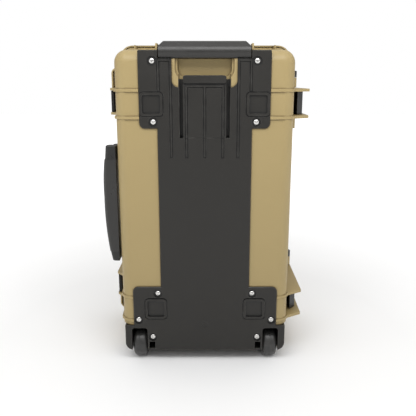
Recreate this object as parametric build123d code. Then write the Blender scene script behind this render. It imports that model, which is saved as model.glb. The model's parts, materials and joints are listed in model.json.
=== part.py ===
from build123d import *
import math
import os

# Hard equipment case on wheels: a moulded tub with a hinged lid, two latches, two folding
# handles and a pull-out trolley. All sizes are in millimetres. X runs across the case and Z up
# its length. Depth is counted from the outermost back plane; the finished pieces are moved by
# half the depth when they are written.

# ---- Driving dimensions -----------------------------------------------------------------------
case_length = 559.0
case_width = 351.0
case_depth = 229.0
flange_out = 22.0              # flanges and ears stand this far out of the side walls
body_top_margin = 9.4          # lid skirt above the shell at the seam
lid_depth = 54.8               # lid, from its sealing face to its front
seam_gap = 2.2                 # between the two rims
draft = 2.3                    # draft angle of the tub's side walls, degrees
lid_draft = 3.0
wall = 3.2
lid_wall = 3.0
back_radius = 20.0
corner_radius = 27.0
rim_corner = 20.0
lid_radius = 16.0
rim_proud = 3.0                # rims stand out of the side walls
rim_thick = 8.0
skirt_gap = 2.0                # between the tub's rim and the lid's overhanging skirt
skirt_wall = 2.4
skirt_reach = 6.0
floor_gap = 0.8                # lid skirt above the ground
fit = 0.05                     # running clearance on pins
slide_gap = 0.3
air = 0.5                      # between pieces that move past each other
rib_thick = 4.6
rib_high = 2.5
rib_proud = 1.4                # lid ribs stand this far out of its front
upper_band_drop = 101.7        # top of the case to the middle of the upper band
lower_band = 98.5              # height of the middle of the lower band
band_pitch = 44.0              # between the two ribs of a band
plate_thick = 3.0
bead_high = 1.2                # beads and rings stand this far out of the plate
bead_wide = 2.2
groove_wide = 1.5              # sunk line beside a bead or ring
groove_deep = 1.6
ring_size = 37.5
ring_wide = 4.0
wing_high = 124.0              # upper pair of screw wings
lower_wing_high = 141.0
housing_low = 20.0
housing_high = 68.0
housing_deep = 62.0
wheel_radius = 25.0
wheel_width = 25.0
wheel_gap = 1.5
axle_hold = 3.0                # the housing's inner cheek that carries the axle
notch_high = 36.0
axle_radius = 3.0
hub_radius = 14.0
bearing_radius = 8.0
bearing_wide = 6.0
screw_head = 4.8
screw_shank = 2.0
screw_boss = 5.0
counterbore_deep = 1.9
tube_share = 0.42345           # spacing of the trolley tubes as a share of the body's width
tube_outer = 18.0
tube_outer_wall = 1.4
tube_inner_wall = 1.3
grip_tall = 26.4
grip_deep = 24.0
grip_screw = 1.6
tab_long = 100.0
tray_deep = 12.0
hinge_pin_radius = 2.5
hinge_eye_radius = 7.3
latch_pin_radius = 2.2
lever_pin_radius = 1.5
lever_knuckle = 3.4
handle_pin_radius = 2.5
handle_share = 0.5670          # side handle as a share of the distance between the bands
side_handle_y0 = 22.0
side_handle_y1 = 50.0
side_arm_wide = 13.0
side_eye = 7.0
side_arm_inner = 4.0           # the arms' inner face, counted inwards from the pivot
eyelet_bore = 4.0
eyelet_wall = 1.0
ear_thick = 7.0
guard_thick = 1.2
pocket_deep = 25.0             # pocket of the top handle
valve_neck = 4.0
valve_head = 8.5
seal_wide = 4.4
seal_inner = 5.0

# ---- Sizes that follow ------------------------------------------------------------------------
half_width = case_width / 2
body_width = case_width - 2 * flange_out
seam_depth = case_depth - lid_depth - seam_gap
lid_seam = seam_depth + seam_gap
hinge_y = seam_depth + seam_gap / 2
mid_z = (case_length + floor_gap) / 2
seam_height = case_length - floor_gap - 2 * body_top_margin
shell_back = bead_high + plate_thick
rim_half = body_width / 2 + rim_proud
rim_height = case_length - floor_gap - 2 * (skirt_gap + skirt_wall)
skirt_half = rim_half + skirt_gap + skirt_wall
skirt_height = rim_height + 2 * (skirt_gap + skirt_wall)
tub_slope = math.tan(math.radians(draft))
band_centres = (case_length - upper_band_drop, lower_band)
band_inside = band_pitch - rib_thick
band_half = band_pitch / 2 + rib_thick / 2
rib_heights = [c + s * band_pitch / 2 for c in band_centres for s in (1, -1)]
flange_start_hinge = 35.0
flange_start_latch = seam_depth - 42.0

tube_x = tube_share * body_width / 2
tube_y = shell_back + 1.2 + tube_outer / 2
tube_channel = tube_outer / 2 + 1.6
grip_half = tube_x + tube_outer / 2
grip_high = case_length - 2.6
grip_low = grip_high - grip_tall
grip_notch = grip_half + 1.4
bump_half = tube_x + 26.0
bump_deep = 31.2
finger_deep = 23.0             # bottom of the pocket under the trolley grip
tube_foot = housing_high - 20.0
tube_head = grip_low - 8.0
inner_size = tube_outer - 2 * tube_outer_wall - 2 * slide_gap
inner_foot = tube_foot + 16.0
inner_head = grip_low + 14.0
collar_high = grip_low - slide_gap - tube_head

plate_top = case_length - 17.0
upper_wing_low = plate_top - wing_high
column_half = tube_x + 12.5
upper_wing_half = column_half + 29.5
housing_half = body_width / 2 - 10.5
lower_wing_half = housing_half - 16.0
ring_x = column_half + 9.5
window_half = tube_x - 12.0
tab_high = case_length - 56.0
tab_low = tab_high - tab_long
window_low = tab_high - 19.0
tab_half = window_half - 18.0
tab_bead_x = tab_half - 5.2
slot_half = tab_half + 6.0
tab_gap_low = tab_high - 15.2
tab_lip_low = tab_high - 12.8
wheel_x = housing_half - 25.6
wheel_y = wheel_radius + 0.6
well_in = wheel_x - wheel_width / 2 - wheel_gap
well_out = wheel_x + wheel_width / 2 + wheel_gap
screw_places = [
    (tube_x + 19.4, plate_top - 16.7),
    (tube_x + 19.3, upper_wing_low + 10.7),
    (tube_x + 18.0, lower_wing_high - 11.8),
    (lower_wing_half - 8.8, housing_high + 10.7),
]
housing_screw = (wheel_x - 23.8, 45.4)
screw_end = shell_back + 10.0
long_screw_end = housing_deep + 14.0

hinge_x = half_width - 7.5
latch_x = half_width - 10.9
latch_y = seam_depth - 30.0
latch_half = band_inside / 2 - air
arm_inner = half_width - 13.0
arm_outer = half_width - 7.6
arm_eye = arm_outer + air - latch_x
keeper_x = half_width - 13.6
lever_x = half_width - 3.9
lever_y = seam_depth + 6.0
lever_tail = 13.0              # the lever reaches this far behind the arm's pivot
lug_near = 11.5                # the arm's two lugs, measured from the band's middle
lug_far = 16.5
eyelet_x = half_width - 8.5
eyelet_long = ear_thick + guard_thick
ear_half = 18.0
eyelet_heights = (band_centres[0] + band_half + ear_half, band_centres[1] - band_half - ear_half)

side_handle_x = half_width - 15.3
side_handle_y = side_handle_y1 + 45.0
side_handle_mid = (band_centres[0] + band_centres[1]) / 2 + 6.9
side_handle_long = handle_share * (band_centres[0] - band_centres[1])
side_handle_low = side_handle_mid - side_handle_long / 2
side_handle_high = side_handle_mid + side_handle_long / 2
side_handle_near = half_width - 23.9
side_arm_centres = (side_handle_low + 10.0, side_handle_high - 16.0)
side_bar_x = (-side_handle_x - 6.0, -side_handle_x + side_arm_inner)
side_bar_y = (side_handle_y0 + 9.0, side_handle_y1 - 7.0)
sleeve_low = side_handle_low + 17.0
sleeve_high = side_handle_high - 23.0

top_handle_half = grip_half - 2.0
top_handle_y = seam_depth - 44.0
handle_pocket = (-top_handle_half - 14, top_handle_half + 14, bump_deep + 30.8, seam_depth - 26.0)
pocket_floor = case_length - pocket_deep
top_pivot_z = pocket_floor + 9.0
top_bar_low = pocket_floor + 3.5
top_bar_high = top_bar_low + 11.0
top_bar_y = (handle_pocket[2] + 10.0, handle_pocket[2] + 22.0)
valve_x = body_width / 2 - 41.5
valve_y = lid_seam + 27.8
valve_seat = case_length - 9.0
wide = 2 * case_width          # longer than any piece, for cuts that pass right through
tall = 2 * case_length


def save(name, part):
    """Move a piece into the finished frame and write it."""
    export_step(Pos(0, -case_depth / 2, 0) * part, f"parts/{name}.step")


def block(x0, x1, y0, y1, z0, z1):
    """Box between two corners."""
    size = Box(abs(x1 - x0), abs(y1 - y0), abs(z1 - z0))
    return Pos((x0 + x1) / 2, (y0 + y1) / 2, (z0 + z1) / 2) * size


def rod_x(x0, x1, y, z, radius):
    """Cylinder along X."""
    return Pos((x0 + x1) / 2, y, z) * Rot(0, 90, 0) * Cylinder(radius, abs(x1 - x0))


def rod_y(x, y0, y1, z, radius):
    """Cylinder along the depth."""
    return Pos(x, (y0 + y1) / 2, z) * Rot(90, 0, 0) * Cylinder(radius, abs(y1 - y0))


def rod_z(x, y, z0, z1, radius):
    """Upright cylinder."""
    return Pos(x, y, (z0 + z1) / 2) * Cylinder(radius, abs(z1 - z0))


def face_plane(depth, height=0.0):
    """Plane seen from behind: local x is X, local y is Z, normal points out of the back."""
    return Plane(origin=(0, depth, height), x_dir=(1, 0, 0), z_dir=(0, -1, 0))


def slab(sketch, y0, y1):
    """Outline drawn in X and Z, filled from depth y0 to y1."""
    return extrude(face_plane(y1) * sketch, amount=y1 - y0)


def rounded(x0, x1, z0, z1, radius):
    """Rounded rectangle in X and Z."""
    return Pos((x0 + x1) / 2, (z0 + z1) / 2) * RectangleRounded(x1 - x0, z1 - z0, radius)


def plan(points, z0, z1):
    """Outline drawn in X and depth, filled from height z0 to z1."""
    return Pos(0, 0, z0) * extrude(make_face(Polyline(*points, close=True)), amount=z1 - z0)


def mirrored(part):
    """The piece and its mirror image across the middle plane."""
    return part + mirror(part, about=Plane.YZ)


def solid_group(parts):
    """Several separate solids in one node."""
    return Compound(children=list(parts))


def drafted(width, height, radius, depth, reach, angle, outward, edge_radius):
    """Drafted block from a plane at depth, reaching outward (-1 to the back, +1 to the front)."""
    plane = Plane(origin=(0, depth, mid_z), x_dir=(1, 0, 0), z_dir=(0, outward, 0))
    body = extrude(plane * RectangleRounded(width, height, radius), amount=reach, taper=angle)
    far = body.faces().sort_by(Axis.Y)[0 if outward < 0 else -1]
    return fillet(far.edges(), edge_radius)


# ---- Tub --------------------------------------------------------------------------------------
def wall_at(depth):
    """Half width of the tub's side wall at a depth."""
    return body_width / 2 - (seam_depth - depth) * tub_slope


def rib_outline(outer_hinge, outer_latch):
    """Plan of one wrap-round rib of the tub with its two flanges."""
    near = shell_back - rib_high
    side = wall_at(shell_back + back_radius) + rib_high
    bend = back_radius + rib_high
    back_left = -side + bend
    return [
        (back_left, near),
        (side - bend, near),
        (side - bend * 0.3, near + bend * 0.3),
        (side, near + bend * 0.8),
        (outer_hinge, flange_start_hinge),
        (outer_hinge, hinge_y),
        (hinge_x, hinge_y),
        (hinge_x, seam_depth),
        (-outer_latch, seam_depth),
        (-outer_latch, flange_start_latch),
        (-wall_at(flange_start_latch) - rib_high, flange_start_latch - 22),
        (-side, near + bend * 0.8),
        (-side + bend * 0.3, near + bend * 0.3),
    ]


def padlock_guard(centre):
    """Rounded wall that shields a padlock ear from knocks."""
    outward = 1 if centre > mid_z else -1
    start = seam_depth - 34
    thick = 2.6
    end = centre + outward * ear_half
    low, high = sorted((end, centre - outward * (ear_half + 14)))
    outer = rounded(-half_width, -half_width + 40, low, high, 10)
    inner = rounded(-half_width + thick, -half_width + 38, low + thick, high - thick, 10 - thick)
    reach = plan([(-wall_at(start) + 2, start), (-half_width, start + 12),
                  (-half_width, seam_depth), (-body_width / 2 + 4, seam_depth)], low, high)
    return slab(outer - inner, start, seam_depth) & reach


def padlock_tab(y0, y1, centre):
    """Padlock ear beside a band, with the seat of its sleeve."""
    ear = slab(rounded(-half_width, -rim_half + 6, centre - ear_half, centre + ear_half, 7), y0, y1)
    return ear - rod_y(-eyelet_x, y0 - 1, y1 + 1, centre, eyelet_bore + eyelet_wall)


def tub_cavity():
    """Space inside the tub, with the trolley, wheel and handle bulges left standing."""
    room = drafted(
        body_width - 2 * wall, seam_height - 2 * wall, corner_radius - wall,
        seam_depth + 0.01, seam_depth - shell_back - wall, draft, -1, back_radius - wall,
    )
    room -= block(-bump_half, bump_half, 0, bump_deep, 0, case_length)
    room -= block(-half_width, half_width, 0, housing_deep + wall, 0, housing_high + wall)
    x0, x1, y0, y1 = handle_pocket
    room -= block(x0 - wall, x1 + wall, y0 - wall, y1 + wall, pocket_floor - wall, case_length)
    for x, z in screw_places[3:]:
        room -= mirrored(rod_y(x, 0, screw_end + 4, z, screw_boss))
    room -= mirrored(rod_y(housing_screw[0], 0, long_screw_end + 3, housing_screw[1], screw_boss))
    return room


def base_shell():
    """Tub: walls, ribs, flanges, sealing rim, pockets for the trolley and handles."""
    tub = drafted(
        body_width, seam_height, corner_radius,
        seam_depth, seam_depth - shell_back, draft, -1, back_radius,
    )
    rim = slab(rounded(-rim_half, rim_half, mid_z - rim_height / 2, mid_z + rim_height / 2,
                       rim_corner), seam_depth - rim_thick, seam_depth)
    tub += rim
    fin_x = body_width / 2 - 26
    fin = block(fin_x, fin_x + 2.5, seam_depth - 32, lid_seam - skirt_reach - air,
                case_length - 20, case_length - 1)
    tub += mirrored(fin)
    for z in rib_heights:
        rib = plan(rib_outline(half_width, half_width), z - rib_thick / 2, z + rib_thick / 2)
        eye = rod_z(hinge_x, hinge_y, z - rib_thick / 2, z + rib_thick / 2, hinge_eye_radius)
        tub += rib + eye
    post = block(grip_notch, grip_notch + 3, shell_back, grip_deep + 6,
                 pocket_floor, grip_high - 4)
    tub += mirrored(post)
    foot_x = body_width / 2 - 41.5
    foot = block(foot_x - 34, foot_x, seam_depth - 36, seam_depth - rim_thick + 2, 0, 14)
    tub += mirrored(fillet(foot.edges().filter_by(Axis.Z), 5))
    for z in eyelet_heights:
        tub += padlock_tab(seam_depth - ear_thick, seam_depth, z)
        tub += padlock_guard(z)
    tub -= tub_cavity()
    tub -= slab(plate_outline(slide_gap), -5, shell_back)
    tub -= block(-half_width, half_width, -5, housing_deep, -5, housing_high)
    near = tube_x - tube_channel
    tub -= mirrored(block(near, tube_x + tube_channel, 0, shell_back + 23,
                          tube_foot - 4, tall))
    core = near - wall
    tub -= block(-core, core, 0, bump_deep - wall, housing_high + 4, tab_low - 8)
    tub -= block(-slot_half - 1.7, slot_half + 1.7, 0, shell_back + tray_deep + 0.2,
                 tab_low - 5, tab_high + 2)
    pocket = rounded(-window_half + 9, window_half - 9, window_low + 16, tall, 13)
    tub -= slab(pocket, -5, finger_deep)
    mouth = slab(offset(pocket, amount=4), -5, shell_back + 6)
    tub -= mouth & block(-window_half, window_half, -5, housing_deep, window_low, tall)
    tub -= block(-grip_notch, grip_notch, -5, grip_deep + 3, grip_low - 1, case_length)
    x0, x1, y0, y1 = handle_pocket
    tub -= fillet(block(x0, x1, y0, y1, pocket_floor, case_length).edges().filter_by(Axis.Z), 10)
    for x, z in screw_places:
        tub -= mirrored(rod_y(x, 0, screw_end, z, screw_shank))
    tub -= mirrored(rod_y(housing_screw[0], 0, long_screw_end, housing_screw[1], screw_shank))
    for band in band_centres:
        reach = band_pitch / 2 + rib_thick
        tub -= rod_z(hinge_x, hinge_y, band - reach, band + reach, hinge_pin_radius)
        tub -= rod_z(-latch_x, latch_y, band - reach, band + reach, latch_pin_radius)
        bay = band_inside / 2
        tub -= block(-half_width, -rim_half - 0.2, seam_depth - 72, case_depth,
                     band - bay, band + bay)
    for z in eyelet_heights:
        tub -= rod_y(-eyelet_x, seam_depth - 22, seam_depth + 1, z, eyelet_bore + eyelet_wall)
    tongue = slab(seal_ring(2.4), seam_depth - 1, seam_depth + 4.0)
    return tub + tongue


def seal_ring(width, inset=1.0):
    """Ring that follows the rim, drawn in X and Z."""
    x = body_width / 2 - inset
    z = seam_height / 2 - inset
    outer = RectangleRounded(2 * x, 2 * z, corner_radius - inset)
    inner = RectangleRounded(2 * (x - width), 2 * (z - width), corner_radius - inset - width)
    return Pos(0, mid_z) * (outer - inner)


# ---- Trolley plate and wheels -----------------------------------------------------------------
def plate_outline(grow):
    """Outline of the black back plate, grown by a clearance."""
    upper = rounded(-upper_wing_half - grow, upper_wing_half + grow,
                    upper_wing_low - grow, plate_top - 20, 9)
    upper += rounded(-upper_wing_half - grow, upper_wing_half + grow,
                     upper_wing_low + 20, plate_top + grow, 2.5)
    column = rounded(-column_half - grow, column_half + grow, housing_low, plate_top, 4)
    lower = rounded(-lower_wing_half - grow, lower_wing_half + grow,
                    housing_low, lower_wing_high + grow, 9)
    return upper + column + lower


def square_ring(x, z):
    """Raised square frame moulded on the plate."""
    half = ring_size / 2
    outer = rounded(x - half, x + half, z - half, z + half, 6)
    inset = half - ring_wide
    inner = rounded(x - inset, x + inset, z - inset, z + inset, 2.5)
    return slab(outer - inner, 0, bead_high + groove_deep)


def square_groove(x, z):
    """Shallow sunk field under a square frame."""
    half = ring_size / 2 + groove_wide
    return slab(rounded(x - half, x + half, z - half, z + half, 7), -1, bead_high + groove_deep)


def bead(x, z0, z1, grow=0.0):
    """Upright bead, or with grow the groove that frames it."""
    half = bead_wide / 2 + grow
    return block(x - half, x + half, 0.1 - grow, bead_high + groove_deep, z0 - grow, z1 + grow)


def crossbar(x0, x1, z, grow=0.0):
    """Level bead, or with grow the groove that frames it."""
    return block(x0 - grow, x1 + grow, 0.1 - grow, bead_high + groove_deep,
                 z - bead_wide - grow, z + grow)


def plate_beads(grow=0.0):
    """Beads of the plate: three below the tab and a frame over each trolley tube."""
    top = grip_low - 2.5
    outer_x = tube_x + tube_outer / 2 + 1.8
    inner_x = window_half + bead_wide / 2 + 0.8
    beads = bead(0, tab_low - 32, tab_low - 1, grow)
    for side in (-1, 1):
        beads += bead(side * tab_bead_x, tab_low - 32, tab_low - 1, grow)
        beads += bead(side * inner_x, tab_low - 32, top, grow)
        beads += bead(side * (outer_x - bead_wide / 2), tab_high - 24, top, grow)
        beads += crossbar(*sorted((side * inner_x, side * outer_x)), top, grow)
    return beads


def tab_beads(grow=0.0):
    """Beads of the release tab, joined across their tops."""
    top = tab_high - 16
    beads = crossbar(-tab_bead_x, tab_bead_x, top, grow)
    for x in (-tab_bead_x, 0, tab_bead_x):
        beads += bead(x, tab_low + grow, top, grow)
    return beads


def trolley_plate():
    """Back plate with the wheel housings moulded on."""
    flat = slab(plate_outline(0), bead_high, shell_back)
    flat = chamfer(flat.faces().sort_by(Axis.Y)[0].edges(), 1.0)
    box = slab(rounded(-housing_half, housing_half, housing_low, housing_high, 14),
               bead_high, housing_deep)
    box += block(-housing_half, housing_half, bead_high, housing_deep,
                 housing_high - 20, housing_high)
    plate = flat + box
    plate -= block(-housing_half + 59, housing_half - 59, shell_back + 2, housing_deep + 1,
                   housing_low + 4, housing_high - 4)
    room = wheel_radius + 4
    well = rod_x(well_in, well_out, wheel_y, wheel_radius, room)
    opening = block(well_in, well_out, -5, wheel_y, wheel_radius, housing_high - 5.4)
    well += fillet(opening.edges().filter_by(Axis.Y).group_by(Axis.Z)[-1], 5)
    well += block(well_in, well_out, -5, wheel_y + room, -5, wheel_radius)
    plate -= mirrored(well)
    notch_x = well_in - axle_hold
    notch = block(notch_x - 10.5, notch_x, -5, bead_high + 2, housing_low - 1, notch_high)
    notch += block(notch_x - 10.5, notch_x, -5, housing_deep / 2, housing_low + 2.5, notch_high)
    plate -= mirrored(notch)
    plate -= mirrored(block(tube_x - tube_outer / 2 - 1, tube_x + tube_outer / 2 + 1, shell_back,
                            shell_back + 23, tube_foot - 5, housing_high + 1))
    for x, z in ((ring_x, band_centres[0]), (ring_x, band_centres[1] + 1.5)):
        plate -= mirrored(square_groove(x, z))
        plate += mirrored(square_ring(x, z))
    plate -= plate_beads(groove_wide)
    plate += plate_beads()
    plate -= block(-grip_half - 1.6, grip_half + 1.6, -5, shell_back + 1, grip_low - air, tall)
    window = rounded(-window_half, window_half, window_low, tall, 11)
    plate -= slab(window, -5, shell_back + 1)
    plate -= block(-slot_half, slot_half, -5, shell_back + 1, tab_low - slide_gap, window_low + 14)
    tray = block(-slot_half - 1.5, slot_half + 1.5, shell_back, shell_back + tray_deep,
                 tab_low - 2, tab_high - 6)
    plate += tray - block(-slot_half, slot_half, 0, shell_back + tray_deep - 1,
                          tab_low - slide_gap, tab_high)
    for x, z in screw_places + [housing_screw]:
        plate -= mirrored(rod_y(x, -5, bead_high + counterbore_deep, z, screw_head + 3))
        plate -= mirrored(rod_y(x, -5, shell_back + 2, z, screw_shank))
    plate -= mirrored(rod_y(housing_screw[0], 0, housing_deep + 1, housing_screw[1], screw_shank))
    plate -= mirrored(wheel_axle())
    gate_mark = Pos(0, housing_high + 2) * (Circle(5.5) - Circle(4.3))
    return plate - slab(gate_mark, -1, bead_high + 0.4)


def screw(x, z, end):
    """Dome-head screw with a hexagon socket."""
    seat = bead_high + counterbore_deep
    head = rod_y(x, 0.5, seat, z, screw_head)
    head = fillet(head.faces().sort_by(Axis.Y)[0].edges(), 1.3)
    socket = slab(Pos(x, z) * RegularPolygon(1.7, 6), -1, 1.7)
    return head + rod_y(x, seat, end, z, screw_shank) - socket


def release_tab():
    """Sprung tongue in the plate that frees the stowed trolley."""
    panel = block(-tab_half, tab_half, bead_high, shell_back, tab_low, tab_lip_low + 1)
    panel -= block(-tab_half, tab_half, 0, shell_back - 0.9, tab_gap_low, tab_high)
    lip = block(-tab_half, tab_half, 0.2, shell_back + 3, tab_lip_low, tab_high)
    lip = fillet(lip.edges().filter_by(Axis.Y), 4)
    lip = fillet(lip.faces().sort_by(Axis.Y)[0].edges(), 1.2)
    return panel + lip - tab_beads(groove_wide) + tab_beads()


def wheel_tyre():
    """Polyurethane tread ring with rounded shoulders, at the right-hand wheel."""
    tread = rod_x(wheel_x - wheel_width / 2, wheel_x + wheel_width / 2, wheel_y, wheel_radius,
                  wheel_radius)
    tread = fillet(tread.edges(), 7)
    return tread - rod_x(0, wide, wheel_y, wheel_radius, hub_radius)


def wheel_hub():
    """Moulded hub with a bearing seat in each side."""
    x0 = wheel_x - wheel_width / 2
    x1 = wheel_x + wheel_width / 2
    hub = rod_x(x0, x1, wheel_y, wheel_radius, hub_radius)
    hub -= rod_x(x0, x0 + bearing_wide, wheel_y, wheel_radius, bearing_radius)
    hub -= rod_x(x1 - bearing_wide, x1, wheel_y, wheel_radius, bearing_radius)
    return hub - rod_x(x0, x1, wheel_y, wheel_radius, axle_radius + 1)


def wheel_bearings():
    """The two bearings of one wheel."""
    rings = []
    for x in (wheel_x - wheel_width / 2, wheel_x + wheel_width / 2 - bearing_wide):
        ring = rod_x(x, x + bearing_wide, wheel_y, wheel_radius, bearing_radius)
        rings.append(ring - rod_x(x, x + bearing_wide, wheel_y, wheel_radius, axle_radius + fit))
    return rings


def wheel_axle():
    """Steel axle held in the housing's cheeks."""
    return rod_x(well_in - axle_hold, well_out + 2 * axle_hold, wheel_y, wheel_radius, axle_radius)


# ---- Trolley ----------------------------------------------------------------------------------
def square_tube(x, size, thick, z0, z1):
    """Upright rounded square tube."""
    skin = RectangleRounded(size, size, 3)
    bore = RectangleRounded(size - 2 * thick, size - 2 * thick, 3 - thick)
    return Pos(x, tube_y, z0) * extrude(skin - bore, amount=z1 - z0)


def square_plug(x, size, z0, z1):
    """Upright rounded square bar."""
    return Pos(x, tube_y, z0) * extrude(RectangleRounded(size, size, 3), amount=z1 - z0)


def tube_collar(x):
    """Plastic guide ring on top of an outer tube."""
    ring = RectangleRounded(tube_outer, tube_outer, 3)
    bore = RectangleRounded(inner_size + 2 * slide_gap, inner_size + 2 * slide_gap, 2)
    return Pos(x, tube_y, tube_head) * extrude(ring - bore, amount=collar_high)


def trolley_grip():
    """Pull handle: half-round bar with bevelled upper ends."""
    bevel = 8.0
    crown = ThreePointArc((3.0, grip_low), (0.0, grip_low + 10), (6.0, grip_high - 5))
    cap = ThreePointArc((6.0, grip_high - 5), (10.0, grip_high - 1), (16.0, grip_high))
    rest = Polyline((16.0, grip_high), (grip_deep, grip_high), (grip_deep, grip_low),
                    (3.0, grip_low))
    section = Plane(origin=(-grip_half, 0, 0), x_dir=(0, 1, 0), z_dir=(1, 0, 0))
    rod = extrude(section * make_face(crown + cap + rest), amount=2 * grip_half)
    outline = Polyline(
        (-grip_half, grip_low), (grip_half, grip_low), (grip_half, grip_high - bevel),
        (grip_half - bevel, grip_high), (-grip_half + bevel, grip_high),
        (-grip_half, grip_high - bevel), close=True,
    )
    bar = rod & slab(make_face(outline), 0, grip_deep)
    for x in (-tube_x, tube_x):
        bar -= square_plug(x, inner_size, grip_low - 1, inner_head)
        bar -= rod_y(x, tube_y, grip_deep + 1, grip_low + 7, grip_screw)
    return bar


# ---- Lid --------------------------------------------------------------------------------------
def lid_rib_outline():
    """Plan of one lid rib with its two flanges."""
    y0 = lid_seam
    front = case_depth
    side = body_width / 2 - 6
    return [
        (-half_width, y0), (half_width, y0), (half_width, front - 22),
        (side, front), (-side, front), (-half_width, front - 22),
    ]


def lid_shell():
    """Lid: walls, ribs, overhanging skirt, seal groove, hinge knuckles, padlock ears."""
    deep = case_depth - lid_seam
    lid = drafted(body_width, seam_height, corner_radius, lid_seam, deep - rib_proud, lid_draft,
                  1, lid_radius)
    outer = rounded(-skirt_half, skirt_half, mid_z - skirt_height / 2, mid_z + skirt_height / 2,
                    rim_corner + 4)
    inner = rounded(-skirt_half + skirt_wall, skirt_half - skirt_wall,
                    mid_z - skirt_height / 2 + skirt_wall, mid_z + skirt_height / 2 - skirt_wall,
                    rim_corner + 4 - skirt_wall)
    lid += slab(outer, lid_seam, lid_seam + 6)
    skirt = slab(outer - inner, lid_seam - skirt_reach, lid_seam)
    skirt -= mirrored(block(rim_half - 12, wide, 0, case_depth, 24, case_length - 24))
    lid += skirt
    for z in rib_heights:
        lid += plan(lid_rib_outline(), z - rib_thick / 2, z + rib_thick / 2)
    for z in eyelet_heights:
        lid += padlock_tab(lid_seam, lid_seam + ear_thick, z)
    for band in band_centres:
        bay = band_inside / 2
        clear = bay + rib_thick + air
        lid -= block(-half_width, -rim_half + 0.5, lid_seam - 8, case_depth - 7,
                     band - bay, band + bay)
        keeper = block(-keeper_x, -rim_half + 3, lid_seam + 1.8, lid_seam + 5.8,
                       band - bay, band + bay)
        lid += keeper
        lid -= rod_z(hinge_x, hinge_y, band - clear, band + clear, 14)
        lid -= block(rim_half + 0.5, half_width, lid_seam - 8, hinge_y + 14,
                     band - 70, band + 70)
        for z0, z1 in knuckle_spans(band):
            lid += lid_knuckle(z0, z1)
        lid -= rod_z(hinge_x, hinge_y, band - 80, band + 80, hinge_pin_radius + fit)
    room = drafted(body_width - 2 * lid_wall, seam_height - 2 * lid_wall,
                   corner_radius - lid_wall, lid_seam - 0.01, deep - rib_proud - lid_wall,
                   lid_draft, 1, lid_radius - lid_wall)
    edge = seal_inner + lid_wall
    lid_room = room & block(-body_width / 2 + edge, body_width / 2 - edge, 0, case_depth,
                            mid_z - seam_height / 2 + edge, mid_z + seam_height / 2 - edge)
    lid -= lid_room
    lid -= room & block(-wide, wide, lid_seam + 9.5, case_depth, 0, case_length)
    lid -= slab(seal_ring(seal_wide, 0.0), lid_seam - 0.5, lid_seam + 5.0)
    panel_x = body_width / 2 - 57.5
    panel_z = seam_height / 2 - 150
    panel = rounded(-panel_x, panel_x, mid_z - panel_z, mid_z + panel_z, 14)
    lid -= slab(panel, case_depth - rib_proud - 1.0, case_depth + 1)
    for z in eyelet_heights:
        lid -= rod_y(-eyelet_x, lid_seam - 9, lid_seam + 12, z, eyelet_bore + eyelet_wall)
    lid -= rod_z(valve_x, valve_y, valve_seat - 12, case_length, valve_neck)
    lid -= rod_z(valve_x, valve_y, valve_seat, case_length, valve_head + 1.5)
    return lid


def knuckle_spans(band):
    """Heights of the two lid knuckles outside a band's ribs."""
    gap = band_half + air
    return ((band + gap, band + gap + 18), (band - gap - 28, band - gap))


def lid_knuckle(z0, z1):
    """Hinge knuckle with the arm that joins it to the lid."""
    arm = plan([(rim_half - 4, lid_seam), (hinge_x, hinge_y - hinge_eye_radius + 2.0),
                (hinge_x + 5.2, hinge_y + 5.2), (rim_half - 2, lid_seam + 17)], z0, z1)
    arm -= block(0, rim_half + 1.0, 0, lid_seam, 0, case_length)
    return arm + rod_z(hinge_x, hinge_y, z0, z1, hinge_eye_radius)


def gasket():
    """Rubber seal seated in the lid's groove."""
    return slab(seal_ring(seal_wide, 0.0), lid_seam + 2.4, lid_seam + 5.0)


# ---- Hinges, latches, handles -----------------------------------------------------------------
def hinge_block(band):
    """Black spacer block that fills a hinge band of the tub."""
    bay = band_inside / 2 - 0.2
    start = flange_start_hinge + 11
    body = plan([(rim_half + 0.8, start), (hinge_x + 1, start + 16), (hinge_x + 1, hinge_y),
                 (hinge_x - 6.5, hinge_y), (rim_half + 0.8, seam_depth - 1)],
                band - bay, band + bay)
    body += rod_z(hinge_x, hinge_y, band - bay, band + bay, 6.5)
    return body - rod_z(hinge_x, hinge_y, band - bay, band + bay, hinge_pin_radius)


def hinge_pin(band):
    """Steel pin through the tub's ribs, the block and both lid knuckles."""
    (_, top), (low, _) = knuckle_spans(band)
    return rod_z(hinge_x, hinge_y, low, top + 10, hinge_pin_radius)


def hinge_cap(band):
    """Black cap on the pin's end."""
    (_, top), _ = knuckle_spans(band)
    cap = rod_z(hinge_x, hinge_y, top + air, top + 13, hinge_eye_radius)
    cap = fillet(cap.faces().sort_by(Axis.Z)[-1].edges(), 2)
    return cap - rod_z(hinge_x, hinge_y, top, top + 10, hinge_pin_radius)


def latch_arm(band):
    """Latch arm with the tooth that pulls the lid's ledge down."""
    z0 = band - latch_half
    z1 = band + latch_half
    arm = plan([(-arm_outer, latch_y), (-arm_inner, latch_y), (-arm_inner - 2.3, latch_y + 8),
                (-arm_inner - 2.3, lid_seam + 6.3), (-arm_inner, lid_seam + 7.3),
                (-arm_inner, lid_seam + 10.5), (-arm_outer, lid_seam + 12)], z0, z1)
    arm += rod_z(-latch_x, latch_y, z0, z1, arm_eye)
    for side in (-1, 1):
        lug0 = band + side * lug_near
        lug1 = band + side * lug_far
        arm += rod_z(-lever_x, lever_y, lug0, lug1, lever_knuckle)
        arm += block(-lever_x, -arm_outer + 1, lever_y - lever_knuckle, lever_y + lever_knuckle,
                     lug0, lug1)
    arm -= rod_z(-latch_x, latch_y, z0, z1, latch_pin_radius + fit)
    return arm - rod_z(-lever_x, lever_y, z0, z1, lever_pin_radius)


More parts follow.
